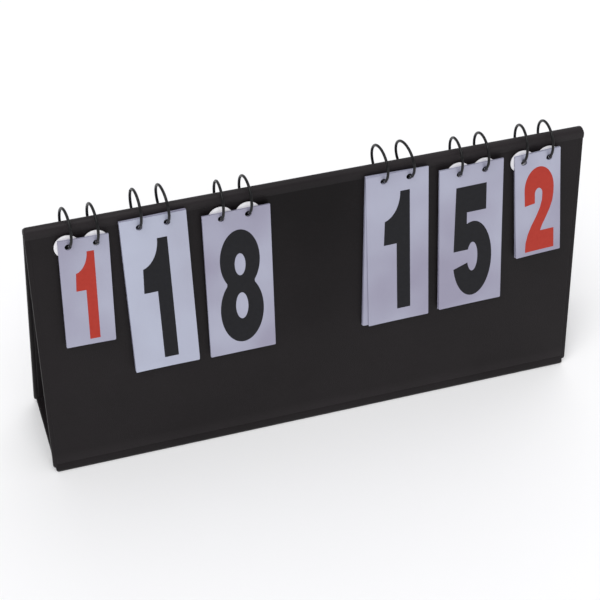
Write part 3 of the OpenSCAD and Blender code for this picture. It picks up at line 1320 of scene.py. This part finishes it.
    def sweep(
        self, shape: bmesh.types.BMesh, start: float, end: float, radii: Point, sides: int, steps: int,
        shift: float = 0.0,
    ) -> None:
        """Sweeps an ellipse round a ring's middle.

        Args:
            shape: The bmesh that gets it.
            start: First angle, in degrees.
            end: Last angle.
            radii: The ellipse's radii, across the ring's plane and along its spokes.
            sides: Its sides.
            steps: Steps of the sweep.
            shift: How far it stands out of the ring's plane.
        """
        radial = self.spoke(start)
        across = Matrix((X_AXIS, radial, self.spoke(start + 90))).transposed().to_4x4()
        across.translation = radial * self.pack.ring_radius + X_AXIS * shift
        section = across @ Matrix.Diagonal((*radii, 1, 1))
        made = bmesh.ops.create_circle(shape, cap_ends=True, radius=1.0, segments=sides, matrix=section)
        verts = made["verts"]
        edges = {edge for vert in verts for edge in vert.link_edges}
        faces = {face for vert in verts for face in vert.link_faces}
        bmesh.ops.spin(
            shape, geom=[*verts, *edges, *faces], cent=(0, 0, 0), axis=X_AXIS, dvec=(0, 0, 0),
            angle=math.radians(end - start), steps=steps, use_merge=False, use_normal_flip=False,
            use_duplicate=False,
        )

    def wire(self, shape: bmesh.types.BMesh, start: float, end: float) -> None:
        """Adds a stretch of ring wire, from one angle in degrees to another."""
        radius = self.pack.wire_radius
        self.sweep(shape, start, end, (radius, radius), 14, max(2, round((end - start) / 5)))

    def lug(self, shape: bmesh.types.BMesh, side: float, radius: float, low: float, high: float) -> None:
        """Adds a disc on the pin's line.

        Args:
            shape: The bmesh that gets it.
            side: -1 or 1, the side of the ring's plane that it is on.
            radius: Its radius.
            low: Its nearer face's distance from the plane.
            high: Its farther face's distance.
        """
        centre = self.spoke(self.pin_turn) * self.pack.ring_radius + X_AXIS * side * (low + high) / 2
        lying = Matrix.Translation(centre) @ Matrix.Rotation(math.pi / 2, 4, "Y")
        made = bmesh.ops.create_cone(
            shape, cap_ends=True, segments=24, radius1=radius, radius2=radius, depth=high - low, matrix=lying
        )
        rim = {
            edge for vert in made["verts"] for edge in vert.link_edges
            if abs(edge.verts[0].co.x - edge.verts[1].co.x) < 0.001
        }
        round_edges(shape, rim, min(self.lug_round, radius * 0.3), 2)

    def gate(self, side: int, offset: float) -> None:
        """Makes one ring's gate, over the top from the snap to the pin.

        Args:
            side: 0 for the left ring, 1 for the right.
            offset: Its distance from the pack's middle, in millimetres.
        """
        shape = bmesh.new()
        start = self.snap_turn + self.snap_gap if self.pack.rings[side].snapped else self.open_gate_end
        end = self.pin_turn - self.lug_room
        self.wire(shape, start, end)
        self.lug(shape, 1, self.lug_radius, self.lug_gap, self.lug_thickness)
        self.tongue(shape, end - self.tongue_lap, self.pin_turn, 1)
        settle(shape, self.ring_frame(side, offset))
        name = f"{self.pack.name}_{side + 1}"
        piece = make_piece(f"ring_gate_wire_{name}", shape, self.finishes.wire, [f"gate_{name}"])
        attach(piece, f"ring_gate_{name}")

    def tongue(self, shape: bmesh.types.BMesh, start: float, end: float, side: float) -> None:
        """Adds the thin stretch that joins a wire to its lug.

        Args:
            shape: The bmesh that gets it.
            start: First angle, in degrees.
            end: Last angle.
            side: -1 or 1, the side of the ring's plane that it is on.
        """
        self.sweep(shape, start, end, self.tongue_radii, 12, 4, side * self.tongue_shift)

    def fixed_halves(self) -> None:
        """Makes the parts of the two rings that pass through the panels."""
        whole = bmesh.new()
        for side, offset in enumerate(self.pack.ring_offsets()):
            shape = bmesh.new()
            start = self.pin_turn + self.lug_room
            end = self.snap_turn if self.pack.rings[side].snapped else self.open_half_end
            self.wire(shape, start, end + 360)
            self.lug(shape, -1, self.lug_radius, self.lug_gap, self.lug_thickness)
            self.tongue(shape, self.pin_turn, start + self.tongue_lap, -1)
            settle(shape, self.ring_frame(side, offset))
            add_shape(whole, shape)
        name = self.pack.name
        piece = make_piece(f"ring_wires_{name}", whole, self.finishes.wire, [f"rings_{name}"])
        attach(piece, f"ring_pair_{name}")

    def rivets(self) -> None:
        """Makes the rivets that the two gates turn on."""
        whole = bmesh.new()
        for side, offset in enumerate(self.pack.ring_offsets()):
            shape = bmesh.new()
            seat = self.lug_thickness + 0.01
            for sign in (-1, 1):
                self.lug(shape, sign, self.rivet_head, seat, self.lug_thickness + self.rivet_head_height)
                self.lug(shape, sign, self.rivet_radius, 0.0, self.lug_thickness + 0.1)
            settle(shape, self.ring_frame(side, offset))
            add_shape(whole, shape)
        name = self.pack.name
        piece = make_piece(f"ring_rivets_{name}", whole, self.finishes.rivet, [f"ring_pins_{name}"])
        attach(piece, f"ring_pair_{name}")


@dataclass
class Washers:
    """The white discs on the rings behind the games and units cards, in millimetres."""

    tent: Tent
    finishes: Finishes
    radius: float = 13.5
    bore: float = 3.6
    thickness: float = 0.6
    pitch: float = 0.65
    count: int = 3
    start: float = 5.15

    def build(self) -> None:
        """Makes all the washers."""
        shape = bmesh.new()
        half = self.thickness / 2
        section = (
            (self.bore, -half + 0.1), (self.bore, half - 0.1), (self.bore + 0.1, half),
            (self.radius - 0.25, half), (self.radius - 0.07, half - 0.08), (self.radius, 0.0),
            (self.radius - 0.07, 0.08 - half), (self.radius - 0.25, -half), (self.bore + 0.1, -half),
        )
        for pack in PACKS:
            if pack.washer_shifts is None:
                continue
            centre = self.tent.place(Side.FRONT, pack.ring_centre())
            for k in range(self.count):
                out = self.start + half + k * self.pitch
                drop = math.sqrt(pack.ring_radius**2 - (out - centre.z) ** 2)
                for offset, shift in zip(pack.ring_offsets(), pack.washer_shifts):
                    place = Vector((centre.x + offset + shift, centre.y - drop, out))
                    spin_ring(shape, section, Matrix.Translation(place), 48)
        settle(shape, self.tent.face(Side.FRONT))
        piece = make_piece("turned_spacer_washers", shape, self.finishes.washer, ["spacer_washers"])
        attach(piece, "front_panel")


@dataclass(frozen=True)
class View:
    """The camera of the photograph: angles in degrees, place in millimetres, focal length in pixels."""

    place: Triple = (-477.2, -1333.2, 1540.6)
    yaw: float = 19.42
    pitch: float = 44.91
    roll: float = 2.63
    focal: float = 1800.0
    frame_width: float = 600.0
    sensor: float = 36.0

    def make(self) -> None:
        """Adds the camera and makes it the scene's."""
        data = bpy.data.cameras.new("photo_camera")
        data.sensor_width = self.sensor
        data.lens = self.focal * self.sensor / self.frame_width
        data.clip_end = 60.0
        yaw, pitch = math.radians(self.yaw), math.radians(self.pitch)
        forward = Vector((math.sin(yaw) * math.cos(pitch), math.cos(yaw) * math.cos(pitch), -math.sin(pitch)))
        level = Vector((math.cos(yaw), -math.sin(yaw), 0))
        turned = Matrix((level, level.cross(forward), -forward)).transposed().to_4x4()
        camera = bpy.data.objects.new("photo_camera", data)
        roll = Matrix.Rotation(math.radians(self.roll), 4, "Z")
        camera.matrix_world = Matrix.Translation(Vector(self.place) * MM) @ turned @ roll
        bpy.context.scene.collection.objects.link(camera)
        bpy.context.scene.camera = camera


@dataclass(frozen=True)
class Studio:
    """A plain white floor and soft light from above, in metres, degrees and watts per square metre."""

    floor_size: float = 30.0
    floor_drop: float = 0.0001
    fill: float = 0.5
    key: float = 1.7
    key_from: Triple = (-0.5, -0.8, 2.0)
    back: float = 0.5
    back_from: Triple = (0.7, 1.3, 1.6)
    lamp_spread: float = 50.0

    def make(self) -> None:
        """Adds the floor, the lamps and the world."""
        self.floor()
        self.lamp("key_light", Vector(self.key_from), self.key)
        self.lamp("back_light", Vector(self.back_from), self.back)
        self.world()
        bpy.context.scene.view_settings.view_transform = "Standard"

    def floor(self) -> None:
        """Adds the floor."""
        shape = bmesh.new()
        bmesh.ops.create_grid(shape, x_segments=1, y_segments=1, size=self.floor_size / 2)
        mesh = bpy.data.meshes.new("floor")
        shape.to_mesh(mesh)
        shape.free()
        floor = bpy.data.objects.new("floor", mesh)
        floor.location.z = -self.floor_drop
        bpy.context.scene.collection.objects.link(floor)
        coat = Coat("pale_floor", Roughness=0.9, Specular_IOR_Level=0.1)
        coat.blend(coat.noise(3, 2), (0.94, 0.94, 0.94), (0.96, 0.96, 0.96))
        mesh.materials.append(coat.material)

    def lamp(self, name: str, place: Vector, strength: float) -> None:
        """Adds a broad, even lamp that looks at the object.

        Args:
            name: Its name.
            place: Where the light comes from.
            strength: Its power in watts per square metre.
        """
        data = bpy.data.lights.new(name, "SUN")
        data.angle = math.radians(self.lamp_spread)
        data.energy = strength
        lamp = bpy.data.objects.new(name, data)
        turned = (-place).to_track_quat("-Z", "Y").to_matrix().to_4x4()
        lamp.matrix_world = Matrix.Translation(place) @ turned
        bpy.context.scene.collection.objects.link(lamp)

    def world(self) -> None:
        """Lights the scene evenly and shows white behind it."""
        world = bpy.data.worlds.new("studio")
        world.use_nodes = True
        bpy.context.scene.world = world
        tree = world.node_tree
        tree.nodes.clear()
        path = tree.nodes.new("ShaderNodeLightPath")
        fill = tree.nodes.new("ShaderNodeBackground")
        fill.inputs["Color"].default_value = (0.97, 0.97, 1.0, 1)
        fill.inputs["Strength"].default_value = self.fill
        white = tree.nodes.new("ShaderNodeBackground")
        white.inputs["Color"].default_value = (1, 1, 1, 1)
        mix = tree.nodes.new("ShaderNodeMixShader")
        out = tree.nodes.new("ShaderNodeOutputWorld")
        seen = tree.nodes.new("ShaderNodeMath")
        seen.operation = "MAXIMUM"
        tree.links.new(path.outputs["Is Camera Ray"], seen.inputs[0])
        tree.links.new(path.outputs["Is Transmission Ray"], seen.inputs[1])
        tree.links.new(seen.outputs[0], mix.inputs["Fac"])
        tree.links.new(fill.outputs[0], mix.inputs[1])
        tree.links.new(white.outputs[0], mix.inputs[2])
        tree.links.new(mix.outputs[0], out.inputs["Surface"])


def main() -> None:
    """Builds the scene in order and reports each piece."""
    logging.basicConfig(level=logging.INFO, format="%(message)s")
    View().make()
    Studio().make()
    finishes = Finishes()
    tent = Tent()
    Stand(tent, finishes).build()
    Washers(tent, finishes).build()
    for pack in PACKS:
        CardPack(pack, tent, finishes).build()
    for node in ("front_stack_cards", "rear_stack_cards"):
        dress_node(node, finishes.card)


if __name__ == "__main__":
    main()
